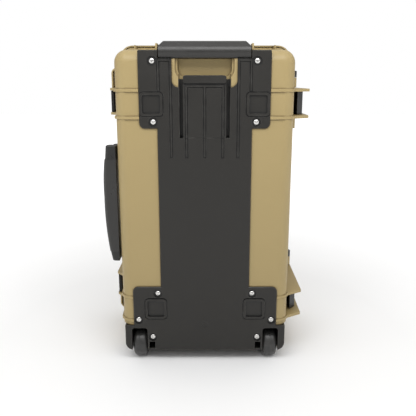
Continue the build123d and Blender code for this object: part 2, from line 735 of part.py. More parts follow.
def latch_lever(band):
    """Curved outer lever of a latch."""
    z0 = band - latch_half
    z1 = band + latch_half
    inner = arm_outer + 3 * slide_gap
    outer = half_width - 0.2
    tail = latch_y - lever_tail
    lip = (-outer + 1.6, tail)
    nose = (-lever_x - 3.2, lever_y + 1.2)
    curve = ThreePointArc(lip, (-outer, (tail + lever_y) / 2), nose)
    edge = Polyline(nose, (-inner, lever_y), (-inner, tail + 1), lip)
    lever = Pos(0, 0, z0) * extrude(make_face(curve + edge), amount=z1 - z0)
    for side in (-1, 1):
        lever -= block(-wide, -rim_half, lever_y - lever_knuckle - 1, case_depth,
                       band + side * (lug_near - slide_gap), band + side * (lug_far + slide_gap))
    lever -= block(-wide, -rim_half, lever_y, case_depth, z0, z1)
    barrel = lug_near - 0.4
    lever += rod_z(-lever_x, lever_y, band - barrel, band + barrel, lever_knuckle)
    lever -= rod_z(-lever_x, lever_y, z0, z1, lever_pin_radius + fit)
    finger = rod_z(-half_width - 9, tail + 2, band - 12, band + 12, 10)
    return lever - finger


def side_handle_body(z0, z1, points):
    """Length of the side handle between two heights, with a rounded grip section."""
    low_x, high_x = points
    near = -side_handle_near
    outline = make_face(Polyline((near, z0), (near, z1), (high_x, z1), (low_x, z0), close=True))
    length = slab(outline, side_handle_y0, side_handle_y1)
    outside = length.faces().sort_by(Axis.X)[0].edges()
    return fillet(outside.filter_by(lambda e: abs(e.center().Z - (z0 + z1) / 2) < 1), 7)


def side_handle_core():
    """Handle frame: two end blocks with their arms, and the bar between them."""
    low = side_handle_low
    high = side_handle_high
    x0, x1 = side_bar_x
    frame = block(x0, x1, *side_bar_y, sleeve_low - 1, sleeve_high + 1)
    frame += side_handle_body(low, sleeve_low, (-half_width + 11, -half_width + 7.5))
    frame += side_handle_body(sleeve_high, high, (-half_width + 4.5, -half_width + 6.5))
    for z in side_arm_centres:
        z0 = z - side_arm_wide / 2
        z1 = z + side_arm_wide / 2
        frame += block(x0, x1, side_bar_y[0], side_handle_y, z0, z1)
        frame += rod_z(-side_handle_x, side_handle_y, z0, z1, side_eye)
    middle = -half_width + 14
    crest = make_face(Polyline((middle - 6.5, sleeve_high + 2), (middle + 6.5, sleeve_high + 2),
                               (middle, sleeve_high + 9), close=True))
    frame += slab(crest, side_handle_y0 - 1, side_handle_y0 + 1)
    return frame - rod_z(-side_handle_x, side_handle_y, low, high, handle_pin_radius + fit)


def side_handle_sleeve():
    """Soft grip moulded over the bar, fullest above its middle."""
    near = -side_handle_near
    outer = -half_width + 0.1
    low_x = -half_width + 6.5
    span = sleeve_high - sleeve_low
    full = (outer, sleeve_low + 0.6 * span)
    swell = ThreePointArc((low_x, sleeve_low), (outer + 1.2, sleeve_low + 0.3 * span), full)
    upper = ThreePointArc(full, (outer + 0.6, sleeve_high - 0.15 * span), (outer + 3, sleeve_high))
    back = Polyline((outer + 3, sleeve_high), (near, sleeve_high), (near, sleeve_low),
                    (low_x, sleeve_low))
    grip = slab(make_face(swell + upper + back), side_handle_y0, side_handle_y1)
    bends = grip.edges().filter_by(
        lambda e: e.center().X < -half_width + 9 and e.length > side_handle_y1 - side_handle_y0 + 2)
    grip = fillet(bends, 8)
    return grip - block(*side_bar_x, *side_bar_y, sleeve_low - 1, sleeve_high + 1)


def side_bracket(z):
    """Bracket that carries one end of the side handle."""
    wall_x = wall_at(side_handle_y + 14)
    foot = block(-wall_x - 4, -wall_x, side_handle_y - 14, side_handle_y + 14, z - 16, z + 16)
    reach = side_arm_wide / 2 + air
    parts = foot - rod_z(-side_handle_x, side_handle_y, z - reach, z + reach, side_eye + air)
    for side in (-1, 1):
        z0 = z + side * reach
        z1 = z0 + side * 5
        ear = rod_z(-side_handle_x, side_handle_y, z0, z1, 6.5)
        ear += block(-side_handle_x, -wall_x - 1, side_handle_y - 6.5, side_handle_y + 6.5, z0, z1)
        parts += ear
    return parts - rod_z(-side_handle_x, side_handle_y, z - 20, z + 20, handle_pin_radius)


def top_handle_core():
    """Top handle frame lying in its pocket."""
    z0 = top_bar_low
    z1 = top_bar_high
    bar = block(-top_handle_half, top_handle_half, *top_bar_y, z0, z1)
    for side in (-1, 1):
        x0 = side * (top_handle_half - 12)
        x1 = side * top_handle_half
        bar += block(x0, x1, top_bar_y[0], top_handle_y, z0, z1)
        bar += rod_x(x0, x1, top_handle_y, top_pivot_z, 6.0)
    return bar - rod_x(-wide, wide, top_handle_y, top_pivot_z, handle_pin_radius + fit)


def top_handle_sleeve():
    """Soft grip on the top handle's bar."""
    z0 = pocket_floor + 1.2
    z1 = case_length - 3.0
    grip = block(-top_handle_half + 14, top_handle_half - 14,
                 top_bar_y[0] - 6, top_bar_y[1] + 8, z0, z1)
    grip = fillet(grip.edges().filter_by(Axis.X), 6)
    return grip - block(-wide, wide, *top_bar_y, top_bar_low, top_bar_high)


def top_bracket(side):
    """Bracket beside one arm of the top handle."""
    x0 = side * (top_handle_half + air)
    x1 = side * (top_handle_half + 11)
    ear = block(x0, x1, top_handle_y - 7, top_handle_y + 7, pocket_floor, top_pivot_z)
    ear += rod_x(x0, x1, top_handle_y, top_pivot_z, 7)
    return ear - rod_x(-wide, wide, top_handle_y, top_pivot_z, handle_pin_radius)


def top_pin(side):
    """Pin of one arm of the top handle."""
    x0 = side * (top_handle_half - 12)
    x1 = side * (top_handle_half + 11)
    return rod_x(x0, x1, top_handle_y, top_pivot_z, handle_pin_radius)


def eyelet(y0, y1, guard_y, z):
    """Steel padlock sleeve with its guard plate, which lies on the ear's outside face."""
    ring = rod_y(-eyelet_x, y0, y1, z, eyelet_bore + eyelet_wall)
    side = eyelet_bore + eyelet_wall + 0.4
    face = rounded(-eyelet_x - side, -eyelet_x + side, z - 2 * side, z + 2 * side, side - 0.3)
    guard = slab(face, guard_y, guard_y + guard_thick)
    return ring + guard - rod_y(-eyelet_x, y0, y1, z, eyelet_bore)


def main():
    """Build and write every piece."""
    os.makedirs("parts", exist_ok=True)
    save("base_shell", base_shell())
    save("lid_shell", lid_shell())
    save("lid_gasket", gasket())
    save("trolley_plate", trolley_plate())
    save("release_tab", release_tab())
    heads = [screw(s * x, z, screw_end) for x, z in screw_places for s in (-1, 1)]
    save("plate_screws", solid_group(heads))
    long_ones = [screw(s * housing_screw[0], housing_screw[1], long_screw_end) for s in (-1, 1)]
    save("housing_screws", solid_group(long_ones))
    save("trolley_grip", trolley_grip())
    for side, sign in (("left", -1), ("right", 1)):
        flip = (lambda p: p) if sign > 0 else (lambda p: mirror(p, about=Plane.YZ))
        x = sign * tube_x
        save(f"outer_tube_{side}", square_tube(x, tube_outer, tube_outer_wall, tube_foot, tube_head))
        save(f"tube_collar_{side}", tube_collar(x))
        save(f"tube_end_plug_{side}", square_plug(x, tube_outer, tube_foot - 3.8, tube_foot))
        save(f"inner_tube_{side}", square_tube(x, inner_size, tube_inner_wall, inner_foot,
                                               inner_head))
        save(f"tube_slider_{side}", square_plug(x, inner_size, inner_foot - 12, inner_foot))
        save(f"wheel_tyre_{side}", flip(wheel_tyre()))
        save(f"wheel_hub_{side}", flip(wheel_hub()))
        save(f"wheel_bearings_{side}", solid_group([flip(r) for r in wheel_bearings()]))
        save(f"wheel_axle_{side}", flip(wheel_axle()))
        save(f"top_handle_bracket_{side}", top_bracket(sign))
    save("grip_screws", solid_group([rod_y(s * tube_x, tube_y + inner_size / 2, grip_deep - 0.5,
                                           grip_low + 7, grip_screw) for s in (-1, 1)]))
    for name, band, z in zip(("upper", "lower"), band_centres, eyelet_heights):
        save(f"hinge_block_{name}", hinge_block(band))
        save(f"hinge_pin_{name}", hinge_pin(band))
        save(f"hinge_cap_{name}", hinge_cap(band))
        save(f"latch_arm_{name}", latch_arm(band))
        save(f"latch_lever_{name}", latch_lever(band))
        save(f"latch_pin_{name}", rod_z(-latch_x, latch_y, band - band_half, band + band_half,
                                        latch_pin_radius))
        save(f"lever_pin_{name}", rod_z(-lever_x, lever_y, band - lug_far, band + lug_far,
                                        lever_pin_radius))
        back = seam_depth - eyelet_long
        front = lid_seam + eyelet_long
        save(f"base_eyelet_{name}", eyelet(back, seam_depth, back, z))
        save(f"lid_eyelet_{name}", eyelet(lid_seam, front, front - guard_thick, z))
    save("side_handle_core", side_handle_core())
    save("side_handle_sleeve", side_handle_sleeve())
    for name, z in zip(("lower", "upper"), side_arm_centres):
        save(f"side_handle_bracket_{name}", side_bracket(z))
    save("side_handle_pins", solid_group([rod_z(-side_handle_x, side_handle_y, z - 12, z + 12,
                                                handle_pin_radius) for z in side_arm_centres]))
    save("top_handle_core", top_handle_core())
    save("top_handle_sleeve", top_handle_sleeve())
    save("top_handle_pins", solid_group([top_pin(s) for s in (-1, 1)]))
    flange = valve_seat + 1.2
    neck = rod_z(valve_x, valve_y, valve_seat - 8, valve_seat, valve_neck)
    head = rod_z(valve_x, valve_y, flange, valve_seat + 4, valve_head)
    collar = rod_z(valve_x, valve_y, valve_seat, flange, valve_head - 2.5)
    save("valve_body", neck + head + collar)
    seal = rod_z(valve_x, valve_y, valve_seat, flange, valve_head - 0.6)
    save("valve_seal", seal - collar)
    cap = rod_z(valve_x, valve_y, valve_seat + 4, valve_seat + 8, valve_head - 1.5)
    save("valve_cap", fillet(cap.faces().sort_by(Axis.Z)[-1].edges(), 1.2))


main()
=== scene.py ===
# %% [markdown]
# # A hard equipment case on wheels
# The case is a moulded tub and lid with a black back plate, a pull-out trolley, latches, hinges, handles
# and wheels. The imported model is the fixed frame: every piece sits where its node sits, in metres, +Z up.
# This lesson dresses that frame: it softens the moulded edges, builds the repeated hardware with Geometry
# Nodes, and gives each finish its own node material.

# %% Load the fixed frame
import json
import math

import bmesh
import bpy
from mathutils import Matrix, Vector


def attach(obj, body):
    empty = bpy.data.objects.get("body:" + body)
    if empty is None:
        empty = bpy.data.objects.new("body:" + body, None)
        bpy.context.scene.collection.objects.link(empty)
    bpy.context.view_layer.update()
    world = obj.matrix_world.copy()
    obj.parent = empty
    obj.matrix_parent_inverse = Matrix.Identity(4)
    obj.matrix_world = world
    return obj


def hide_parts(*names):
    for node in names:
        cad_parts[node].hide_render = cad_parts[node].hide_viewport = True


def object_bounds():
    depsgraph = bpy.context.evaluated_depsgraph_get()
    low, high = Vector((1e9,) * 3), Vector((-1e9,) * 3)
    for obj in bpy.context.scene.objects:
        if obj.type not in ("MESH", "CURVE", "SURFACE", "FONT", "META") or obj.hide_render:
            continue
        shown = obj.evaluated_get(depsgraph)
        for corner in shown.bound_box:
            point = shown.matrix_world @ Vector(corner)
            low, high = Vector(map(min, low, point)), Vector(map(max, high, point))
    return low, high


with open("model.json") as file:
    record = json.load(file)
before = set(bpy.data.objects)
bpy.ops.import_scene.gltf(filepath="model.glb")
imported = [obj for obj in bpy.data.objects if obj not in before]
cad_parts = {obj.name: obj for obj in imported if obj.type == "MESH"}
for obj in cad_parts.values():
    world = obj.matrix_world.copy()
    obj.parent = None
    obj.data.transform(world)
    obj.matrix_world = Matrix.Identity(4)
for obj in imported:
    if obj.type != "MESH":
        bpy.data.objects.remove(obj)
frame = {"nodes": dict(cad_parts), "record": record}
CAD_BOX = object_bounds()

nodes = frame["nodes"]
body_of = {n: b for b, names in frame["record"]["behaviour"]["bodies"].items() for n in names}
slot_of = {row["node"]: row["material_slot"] for row in frame["record"]["subparts"]}

# %% [markdown]
# ## Shared shader groups
# Moulded plastic is never one even tone. Four effects come back on nearly every finish of this case: the
# fine spark-eroded grain of the mould, the pale rub marks along edges (on the black plate also a painted
# highlight on bead edges), the dust that settles low down, and painted shade that darkens the crevices.
# Each is made once as a node group with its own inputs, and every material sets its own amounts.

# %% Small helpers for node trees


def link(tree, a, out, b, into):
    """Join an output of node a to an input of node b."""
    tree.links.new(a.outputs[out], b.inputs[into])


def new_group(name, inputs, outputs):
    """An empty shader group with named sockets: (name, socket type, start value)."""
    group = bpy.data.node_groups.new(name, "ShaderNodeTree")
    for label, kind, value in inputs:
        socket = group.interface.new_socket(label, in_out="INPUT", socket_type=kind)
        socket.default_value = value
    for label, kind in outputs:
        group.interface.new_socket(label, in_out="OUTPUT", socket_type=kind)
    return group, group.nodes.new("NodeGroupInput"), group.nodes.new("NodeGroupOutput")


def math_node(tree, operation, a=None, b=None, clamp=False):
    """A Math node with plain numbers where nothing is linked."""
    node = tree.nodes.new("ShaderNodeMath")
    node.operation = operation
    node.use_clamp = clamp
    for index, value in enumerate((a, b)):
        if isinstance(value, (int, float)):
            node.inputs[index].default_value = value
    return node


def remap(tree, source, out, old, new=(0.0, 1.0)):
    """A Map Range node that turns one span of values into another."""
    node = tree.nodes.new("ShaderNodeMapRange")
    for label, value in zip(("From Min", "From Max", "To Min", "To Max"), (*old, *new)):
        node.inputs[label].default_value = value
    link(tree, source, out, node, "Value")
    return node


# %% The grain of the mould
grain, grain_in, grain_out = new_group(
    "Moulded grain",
    [("Grain per Metre", "NodeSocketFloat", 1400.0), ("Mottle per Metre", "NodeSocketFloat", 22.0)],
    [("Height", "NodeSocketFloat"), ("Mottle", "NodeSocketFloat")],
)
place = grain.nodes.new("ShaderNodeTexCoord")
pits = grain.nodes.new("ShaderNodeTexVoronoi")
pits.feature = "SMOOTH_F1"
cloud = grain.nodes.new("ShaderNodeTexNoise")
cloud.inputs["Detail"].default_value = 4.0
broad = grain.nodes.new("ShaderNodeTexNoise")
broad.inputs["Detail"].default_value = 5.0
broad.inputs["Roughness"].default_value = 0.6
blend_height = math_node(grain, "ADD")
for texture in (pits, cloud, broad):
    link(grain, place, "Object", texture, "Vector")
link(grain, grain_in, "Grain per Metre", pits, "Scale")
link(grain, grain_in, "Grain per Metre", cloud, "Scale")
link(grain, grain_in, "Mottle per Metre", broad, "Scale")
link(grain, pits, "Distance", blend_height, 0)
link(grain, cloud, "Fac", blend_height, 1)
link(grain, blend_height, 0, grain_out, "Height")
link(grain, broad, "Fac", grain_out, "Mottle")
print("group:", grain.name)

# %% Rub marks along the edges, which on the black plate also serve as a painted highlight on bead edges
wear, wear_in, wear_out = new_group(
    "Edge wear and highlight",
    [("Reach", "NodeSocketFloat", 0.0012), ("Amount", "NodeSocketFloat", 0.5),
     ("Broken per Metre", "NodeSocketFloat", 60.0)],
    [("Mask", "NodeSocketFloat")],
)
soft = wear.nodes.new("ShaderNodeBevel")
soft.samples = 4
link(wear, wear_in, "Reach", soft, "Radius")
flat = wear.nodes.new("ShaderNodeNewGeometry")
turn = wear.nodes.new("ShaderNodeVectorMath")
turn.operation = "DOT_PRODUCT"
link(wear, soft, "Normal", turn, 0)
link(wear, flat, "Normal", turn, 1)
bend = math_node(wear, "SUBTRACT", 1.0)
wear.links.new(turn.outputs["Value"], bend.inputs[1])
ramp = remap(wear, bend, 0, (0.01, 0.16))
spots = wear.nodes.new("ShaderNodeTexNoise")
spots.inputs["Detail"].default_value = 6.0
spots_place = wear.nodes.new("ShaderNodeTexCoord")
link(wear, spots_place, "Object", spots, "Vector")
link(wear, wear_in, "Broken per Metre", spots, "Scale")
gate = remap(wear, spots, "Fac", (0.42, 0.62))
both = math_node(wear, "MULTIPLY")
link(wear, ramp, "Result", both, 0)
link(wear, gate, "Result", both, 1)
scaled = math_node(wear, "MULTIPLY", clamp=True)
link(wear, both, 0, scaled, 0)
link(wear, wear_in, "Amount", scaled, 1)
link(wear, scaled, 0, wear_out, "Mask")
print("group:", wear.name)

# %% Dust that settles low down
dust, dust_in, dust_out = new_group(
    "Settled dust",
    [("Top of Dust", "NodeSocketFloat", 0.16), ("Amount", "NodeSocketFloat", 0.25)],
    [("Mask", "NodeSocketFloat")],
)
dust_place = dust.nodes.new("ShaderNodeTexCoord")
dust_xyz = dust.nodes.new("ShaderNodeSeparateXYZ")
link(dust, dust_place, "Object", dust_xyz, "Vector")
fall = remap(dust, dust_xyz, "Z", (0.0, 1.0), (1.0, 0.0))
link(dust, dust_in, "Top of Dust", fall, "From Max")
motes = dust.nodes.new("ShaderNodeTexNoise")
motes.inputs["Scale"].default_value = 45.0
motes.inputs["Detail"].default_value = 8.0
motes.inputs["Roughness"].default_value = 0.7
link(dust, dust_place, "Object", motes, "Vector")
patch = remap(dust, motes, "Fac", (0.45, 0.75))
dust_mix = math_node(dust, "MULTIPLY")
link(dust, fall, "Result", dust_mix, 0)
link(dust, patch, "Result", dust_mix, 1)
dust_scaled = math_node(dust, "MULTIPLY", clamp=True)
link(dust, dust_mix, 0, dust_scaled, 0)
link(dust, dust_in, "Amount", dust_scaled, 1)
link(dust, dust_scaled, 0, dust_out, "Mask")
print("group:", dust.name)

# %% Painted shade that gathers in crevices
crevice, crevice_in, crevice_out = new_group(
    "Painted crevice shade",
    [("Reach", "NodeSocketFloat", 0.003), ("Amount", "NodeSocketFloat", 0.8)],
    [("Mask", "NodeSocketFloat")],
)
# Ambient occlusion darkens the colour inside grooves and recesses: this is painted shade, not a tone of the
# plastic.
hollow = crevice.nodes.new("ShaderNodeAmbientOcclusion")
hollow.samples = 6
link(crevice, crevice_in, "Reach", hollow, "Distance")
shut = remap(crevice, hollow, "AO", (0.95, 0.55))
shut_scaled = math_node(crevice, "MULTIPLY", clamp=True)
link(crevice, shut, "Result", shut_scaled, 0)
link(crevice, crevice_in, "Amount", shut_scaled, 1)
link(crevice, shut_scaled, 0, crevice_out, "Mask")
print("group:", crevice.name)

# %% [markdown]
# ## The finishes
# A recipe function lays out the same small tree for every moulded finish: two tones mixed by the mottle,
# then the rub marks (on the black plate also a painted highlight on bead edges), the dust and the painted
# shade in crevices, into Base Color; the mottle also moves the roughness; the grain goes to a Bump node.
# Each finish passes only its own tones and amounts, so the differences stay easy to read.

# %% A recipe for moulded finishes
SHEEN_SWING = 0.08             # how far the mottle moves the roughness either way
GRAIN_DEPTH = 0.00012          # height of the grain, in metres


def use_group(tree, group, values):
    """A node that runs a shared group, with its inputs set by name."""
    node = tree.nodes.new("ShaderNodeGroup")
    node.node_tree = group
    for label, value in values.items():
        node.inputs[label].default_value = value
    return node


def mix_color(tree, factor, first, second):
    """Mix two colours; each is a colour tuple or a (node, output) pair."""
    node = tree.nodes.new("ShaderNodeMix")
    node.data_type = "RGBA"
    for index, value in ((6, first), (7, second)):
        if isinstance(value[0], bpy.types.Node):
            tree.links.new(value[0].outputs[value[1]], node.inputs[index])
        else:
            node.inputs[index].default_value = (*value, 1.0)
    tree.links.new(factor[0].outputs[factor[1]], node.inputs[0])
    return node, 2


def moulded(name, tone, dark, rub, rough, grain_per_m=1400.0, mottle_per_m=22.0, bump=0.12,
            wear_and_highlight_amount=0.35, wear_and_highlight_reach=0.0011, dust_amount=0.2, dust_tone=(0.42, 0.38, 0.31),
            specular=0.5, painted_shade_tone=(0.004, 0.004, 0.004), painted_shade_amount=0.8, painted_shade_reach=0.003):
    """A moulded plastic or rubber finish; lengths are in metres."""
    material = bpy.data.materials.new(name)
    material.use_nodes = True
    tree = material.node_tree
    shader = tree.nodes["Principled BSDF"]
    shader.inputs["Specular IOR Level"].default_value = specular
    made_grain = use_group(tree, grain, {"Grain per Metre": grain_per_m, "Mottle per Metre": mottle_per_m})
    made_wear_and_highlight = use_group(tree, wear, {"Reach": wear_and_highlight_reach, "Amount": wear_and_highlight_amount})
    made_dust = use_group(tree, dust, {"Amount": dust_amount})
    made_painted_shade = use_group(tree, crevice, {"Reach": painted_shade_reach, "Amount": painted_shade_amount})
    color = mix_color(tree, (made_grain, "Mottle"), dark, tone)
    # Pale rub marks on convex edges: real wear, and on the black plate also a painted highlight on bead
    # edges.
    color = mix_color(tree, (made_wear_and_highlight, "Mask"), color, rub)
    color = mix_color(tree, (made_dust, "Mask"), color, dust_tone)
    # Painted shade: the colour turns towards the shade tone where ambient occlusion finds a crevice.
    color = mix_color(tree, (made_painted_shade, "Mask"), color, painted_shade_tone)
    tree.links.new(color[0].outputs[color[1]], shader.inputs["Base Color"])
    sheen = remap(tree, made_grain, "Mottle", (0.3, 0.7), (rough - SHEEN_SWING, rough + SHEEN_SWING))
    link(tree, sheen, "Result", shader, "Roughness")
    relief = tree.nodes.new("ShaderNodeBump")
    relief.inputs["Strength"].default_value = bump
    relief.inputs["Distance"].default_value = GRAIN_DEPTH
    link(tree, made_grain, "Height", relief, "Height")
    link(tree, relief, "Normal", shader, "Normal")
    return material


# %% Moulded finishes of this case
# Each finish's painted_shade tone and amount set how much shade is painted into its crevices.
FINISH = {
    "tan_shell": moulded("Tan polypropylene", (0.372, 0.284, 0.128), (0.330, 0.248, 0.106),
                         (0.48, 0.39, 0.22), 0.50, mottle_per_m=9.0, wear_and_highlight_amount=0.40,
                         dust_amount=0.08, dust_tone=(0.42, 0.35, 0.22),
                         painted_shade_tone=(0.16, 0.11, 0.045), painted_shade_amount=0.75),
    # Charcoal plate: its strong, wide edge rub is partly wear and partly a painted highlight on the bead
    # edges.
    "black_plate": moulded("Charcoal plate", (0.0170, 0.0154, 0.0127), (0.0115, 0.0104, 0.0084),
                           (0.075, 0.072, 0.066), 0.42, mottle_per_m=14.0, wear_and_highlight_amount=0.9,
                           wear_and_highlight_reach=0.0016, dust_amount=0.04, dust_tone=(0.10, 0.09, 0.075),
                           grain_per_m=1700.0, specular=0.42, painted_shade_amount=1.0,
                           painted_shade_reach=0.006),
    "black_moulding": moulded("Black nylon", (0.012, 0.012, 0.011), (0.008, 0.008, 0.008),
                              (0.06, 0.06, 0.057), 0.46, wear_and_highlight_amount=0.4, dust_amount=0.06),
    "grip_black": moulded("Soft-touch black", (0.022, 0.021, 0.019), (0.015, 0.014, 0.013),
                          (0.07, 0.067, 0.062), 0.34, grain_per_m=1900.0, bump=0.08,
                          wear_and_highlight_amount=0.25, dust_amount=0.03),
    "seal_rubber": moulded("Seal rubber", (0.020, 0.020, 0.020), (0.014, 0.014, 0.014),
                           (0.06, 0.06, 0.06), 0.62, wear_and_highlight_amount=0.1),
    "wheel_tread": moulded("Polyurethane tread", (0.038, 0.037, 0.036), (0.026, 0.026, 0.025),
                           (0.09, 0.088, 0.085), 0.36, mottle_per_m=60.0, wear_and_highlight_amount=0.2,
                           dust_amount=0.18, dust_tone=(0.16, 0.15, 0.13), bump=0.05),
    "hub_plastic": moulded("Hub nylon", (0.020, 0.020, 0.019), (0.014, 0.014, 0.013),
                           (0.07, 0.07, 0.067), 0.45, dust_amount=0.12),
}
print("moulded finishes:", len(FINISH))

# %% [markdown]
# Metal needs a different recipe. Screw heads and padlock sleeves are bright stainless with a fine turned
# or tumbled texture; pins are ground rod; trolley tubes are anodised extrusions whose drawing lines run
# along their length. A noise stretched along the drawing direction gives those lines, and it drives the
# roughness.

# %% A recipe for metals
LINES_PER_METRE = 900.0
LINE_SWING = 0.08              # how far the lines move the roughness either way
LINE_BUMP = 0.06
LINE_DEPTH = 0.00005           # height of the lines, in metres


def metal(name, tone, dark, rough, stretch):
    """A metal with fine lines; stretch scales the pattern along X, Y and Z."""
    material = bpy.data.materials.new(name)
    material.use_nodes = True
    tree = material.node_tree
    shader = tree.nodes["Principled BSDF"]
    shader.inputs["Metallic"].default_value = 1.0
    place_node = tree.nodes.new("ShaderNodeTexCoord")
    turn_node = tree.nodes.new("ShaderNodeMapping")
    turn_node.inputs["Scale"].default_value = stretch
    link(tree, place_node, "Object", turn_node, "Vector")
    lines = tree.nodes.new("ShaderNodeTexNoise")
    lines.inputs["Scale"].default_value = LINES_PER_METRE
    lines.inputs["Detail"].default_value = 3.0
    link(tree, turn_node, "Vector", lines, "Vector")
    color = mix_color(tree, (lines, "Fac"), dark, tone)
    tree.links.new(color[0].outputs[color[1]], shader.inputs["Base Color"])
    spread = remap(tree, lines, "Fac", (0.0, 1.0), (rough - LINE_SWING, rough + LINE_SWING))
    link(tree, spread, "Result", shader, "Roughness")
    relief = tree.nodes.new("ShaderNodeBump")
    relief.inputs["Strength"].default_value = LINE_BUMP
    relief.inputs["Distance"].default_value = LINE_DEPTH
    link(tree, lines, "Fac", relief, "Height")
    link(tree, relief, "Normal", shader, "Normal")
    return material


# %% Metals of this case
FINISH["screw_steel"] = metal("Bright stainless", (0.78, 0.77, 0.75), (0.60, 0.59, 0.57), 0.24,
                              (1.0, 1.0, 1.0))
FINISH["pin_steel"] = metal("Ground stainless rod", (0.62, 0.61, 0.60), (0.45, 0.45, 0.44), 0.34,
                            (1.0, 1.0, 0.05))
FINISH["tube_aluminium"] = metal("Anodised tube", (0.70, 0.70, 0.71), (0.58, 0.58, 0.60), 0.36,
                                 (1.0, 1.0, 0.02))
print("finishes:", len(FINISH))

# %% [markdown]
# ## Softened mouldings
# No moulded edge is razor sharp: the tool has a small radius everywhere, and that radius is what catches
# the light. The frame's nodes are loose triangles with hard edges, so each visible moulding gets a copy:
# the loose triangles are welded, flat areas are merged into whole faces, and a narrow Bevel rounds every
# hard edge. A Weighted Normal modifier then keeps the broad flats evenly shaded right up to the rounding.
# The copy stands for its node and rides on the same body.

# %% Weld, merge and round a copy of a node
WELD_WITHIN = 2e-6             # corners closer than this are one corner, in metres
FLAT_WITHIN = 0.6              # faces that turn less than this are one face, in degrees
EDGE_STEPS = 2                 # faces across each rounded edge


def welded_copy(node):
    """A mesh like the node's, with its loose triangles joined."""
    mesh = nodes[node].data.copy()
    work = bmesh.new()
    work.from_mesh(mesh)
    bmesh.ops.remove_doubles(work, verts=work.verts, dist=WELD_WITHIN)
    bmesh.ops.dissolve_degenerate(work, edges=work.edges, dist=WELD_WITHIN)
    work.to_mesh(mesh)
    work.free()
    return mesh


def shade_by_angle(mesh, degrees):
    """Smooth shading with edges kept crisp where faces meet at more than an angle."""
    for poly in mesh.polygons:
        poly.use_smooth = True
    mesh.set_sharp_from_angle(angle=math.radians(degrees))


def bake_modifiers(piece):
    """Turn the evaluated piece into a plain mesh and take its modifiers away."""
    bpy.context.view_layer.update()
    graph = bpy.context.evaluated_depsgraph_get()
    mesh = bpy.data.meshes.new_from_object(piece.evaluated_get(graph))
    piece.modifiers.clear()
    old = piece.data
    piece.data = mesh
    bpy.data.meshes.remove(old)
    return piece


def finish_piece(piece, body, slot, *replaced):
    """Give the piece its finish, its body, and the nodes it stands for."""
    piece.data.materials.clear()
    piece.data.materials.append(FINISH[slot])
    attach(piece, body)
    if replaced:
        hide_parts(*replaced)
    return piece


def softened(node, width, angle):
    """A rounded-edge copy of one node that stands for it."""
    mesh = welded_copy(node)
    mesh.polygons.foreach_set("use_smooth", [True] * len(mesh.polygons))
    piece = bpy.data.objects.new(node + "_moulding", mesh)
    bpy.context.scene.collection.objects.link(piece)
    merge = piece.modifiers.new("merge flats", "DECIMATE")
    merge.decimate_type = "DISSOLVE"
    merge.angle_limit = math.radians(FLAT_WITHIN)
    round_off = piece.modifiers.new("round edges", "BEVEL")
    round_off.width = width
    round_off.segments = EDGE_STEPS
    round_off.limit_method = "ANGLE"
    round_off.angle_limit = math.radians(angle)
    round_off.use_clamp_overlap = True
    flat_shade = piece.modifiers.new("keep flats flat", "WEIGHTED_NORMAL")
    flat_shade.mode = "FACE_AREA"
    flat_shade.weight = 100    # only the largest faces count
    bake_modifiers(piece)
    return finish_piece(piece, body_of[node], slot_of[node], node)


# %% Edge radius of each moulding
EDGE = {                       # in metres
    "base_shell": 0.0007, "lid_shell": 0.0007, "trolley_plate": 0.0004, "release_tab": 0.0004,
    "trolley_grip": 0.0008, "side_handle_sleeve": 0.0006, "side_handle_core": 0.0008,
    "top_handle_core": 0.0008, "top_handle_sleeve": 0.0006,
    "hinge_block_upper": 0.0008, "hinge_block_lower": 0.0008,
    "hinge_cap_upper": 0.0004, "hinge_cap_lower": 0.0004,
    "latch_arm_upper": 0.0005, "latch_arm_lower": 0.0005,
    "latch_lever_upper": 0.0007, "latch_lever_lower": 0.0007,
    "side_handle_bracket_upper": 0.0006, "side_handle_bracket_lower": 0.0006,
    "top_handle_bracket_left": 0.0006, "top_handle_bracket_right": 0.0006,
    "valve_body": 0.0003, "valve_cap": 0.0004,
    "base_eyelet_upper": 0.0003, "base_eyelet_lower": 0.0003,
    "lid_eyelet_upper": 0.0003, "lid_eyelet_lower": 0.0003,
    "wheel_hub_left": 0.0004, "wheel_hub_right": 0.0004,
}
ROUND_ABOVE = 28.0             # edges that turn more than this are rounded, in degrees
ALREADY_ROUND = {"side_handle_sleeve": 60.0, "trolley_grip": 40.0}    # their curves stay as they are
for moulding, edge_width in EDGE.items():
    made = softened(moulding, edge_width, ALREADY_ROUND.get(moulding, ROUND_ABOVE))
    print(f"{made.name}: {len(made.data.polygons)} faces, edges rounded {edge_width * 1000:.1f} mm")

# %% [markdown]
# ## Hardware by Geometry Nodes
# Screws, tyres and the lid's seal follow simple rules, so a Geometry Nodes tree says each rule once. The
# tree's inputs are the sizes, which are measured on the frame, so the hardware stays in step with it. A
# tree ends in Realize Instances and Set Material, and its result is kept as a plain mesh.

# %% Helpers for Geometry Nodes


def new_tree(name, inputs):
    """An empty Geometry Nodes tree with named inputs: (name, socket type, start value)."""
    tree = bpy.data.node_groups.new(name, "GeometryNodeTree")
    tree.interface.new_socket("Geometry", in_out="INPUT", socket_type="NodeSocketGeometry")
    for label, kind, value in inputs:
        socket = tree.interface.new_socket(label, in_out="INPUT", socket_type=kind)
        if value is not None:
            socket.default_value = value
    tree.interface.new_socket("Geometry", in_out="OUTPUT", socket_type="NodeSocketGeometry")
    return tree, tree.nodes.new("NodeGroupInput"), tree.nodes.new("NodeGroupOutput")


def add(tree, kind, **settings):
    """A node with its options set."""
    node = tree.nodes.new(kind)
    for option, value in settings.items():
        setattr(node, option, value)
    return node


def close_tree(tree, source, out, given, result):
    """End a tree: realize, set the material, and hand the geometry over."""
    real = add(tree, "GeometryNodeRealizeInstances")
    paint = add(tree, "GeometryNodeSetMaterial")
    link(tree, source, out, real, "Geometry")
    link(tree, real, "Geometry", paint, "Geometry")
    link(tree, given, "Material", paint, "Material")
    link(tree, paint, "Geometry", result, "Geometry")


